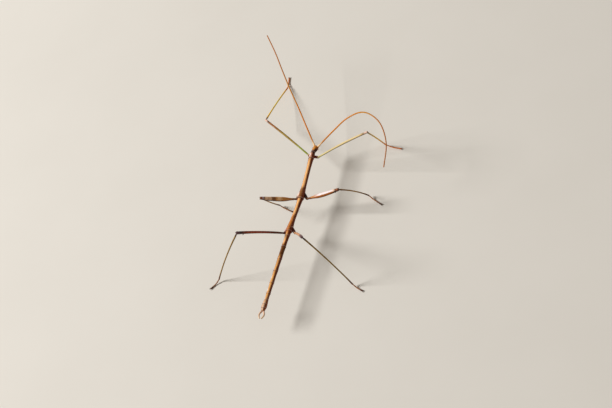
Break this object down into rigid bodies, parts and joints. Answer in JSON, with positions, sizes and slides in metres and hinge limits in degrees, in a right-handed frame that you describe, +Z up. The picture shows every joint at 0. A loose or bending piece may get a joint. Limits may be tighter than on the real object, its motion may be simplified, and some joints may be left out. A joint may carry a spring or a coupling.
{
  "type": "walkingstick insect model",
  "caption": "Slender brown male walkingstick insect standing on six feet, long antennae spread, claspers closed in a loop at the tail.",
  "frame": {"origin": "centre of the footprint of the whole model, on the floor under its feet", "axes": "+X forward along the body towards the head, +Y to the animal's left, +Z up"},
  "size_m": [0.1138, 0.0572, 0.0243],
  "materials": {
    "trunk_cuticle": "reddish brown cuticle, satin, finely wrinkled",
    "head_cuticle": "brown cuticle, satin",
    "eye": "dark glossy compound eye",
    "antenna": "orange brown, ringed, dull",
    "front_leg": "olive and pale green cuticle, satin",
    "mid_leg": "brown cuticle with pale and dark bands, satin",
    "hind_leg": "dark maroon brown cuticle turning olive on the shin, satin",
    "clasper": "pale tan cuticle, satin",
    "claw": "dark brown horny claws with a brown pad"
  },
  "bodies": {
    "root": {"head": "head_cuticle", "mouthparts": "head_cuticle", "left_eye": "eye", "right_eye": "eye", "left_antenna_base": "antenna", "left_antenna_1": "antenna", "left_antenna_2": "antenna", "left_antenna_3": "antenna", "right_antenna_base": "antenna", "right_antenna_1": "antenna", "right_antenna_2": "antenna", "right_antenna_3": "antenna", "pronotum": "trunk_cuticle", "mesothorax": "trunk_cuticle", "metathorax": "trunk_cuticle", "median_segment": "trunk_cuticle", "abdomen_2": "trunk_cuticle", "abdomen_3": "trunk_cuticle", "abdomen_4": "trunk_cuticle", "abdomen_5": "trunk_cuticle", "abdomen_6": "trunk_cuticle", "abdomen_7": "trunk_cuticle", "abdomen_8": "trunk_cuticle", "abdomen_9": "trunk_cuticle", "abdomen_10": "trunk_cuticle", "subgenital_plate": "trunk_cuticle", "left_clasper": "clasper", "right_clasper": "clasper", "left_front_coxa": "front_leg", "left_front_femur": "front_leg", "left_front_tibia": "front_leg", "left_front_tarsus": "front_leg", "left_front_claws": "claw", "left_mid_coxa": "mid_leg", "left_mid_femur": "mid_leg", "left_mid_tibia": "mid_leg", "left_mid_tarsus": "mid_leg", "left_mid_claws": "claw", "left_hind_coxa": "hind_leg", "left_hind_femur": "hind_leg", "left_hind_tibia": "hind_leg", "left_hind_tarsus": "hind_leg", "left_hind_claws": "claw", "right_front_coxa": "front_leg", "right_front_femur": "front_leg", "right_front_tibia": "front_leg", "right_front_tarsus": "front_leg", "right_front_claws": "claw", "right_mid_coxa": "mid_leg", "right_mid_femur": "mid_leg", "right_mid_tibia": "mid_leg", "right_mid_tarsus": "mid_leg", "right_mid_claws": "claw", "right_hind_coxa": "hind_leg", "right_hind_femur": "hind_leg", "right_hind_tibia": "hind_leg", "right_hind_tarsus": "hind_leg", "right_hind_claws": "claw"}
  },
  "joints": []
}
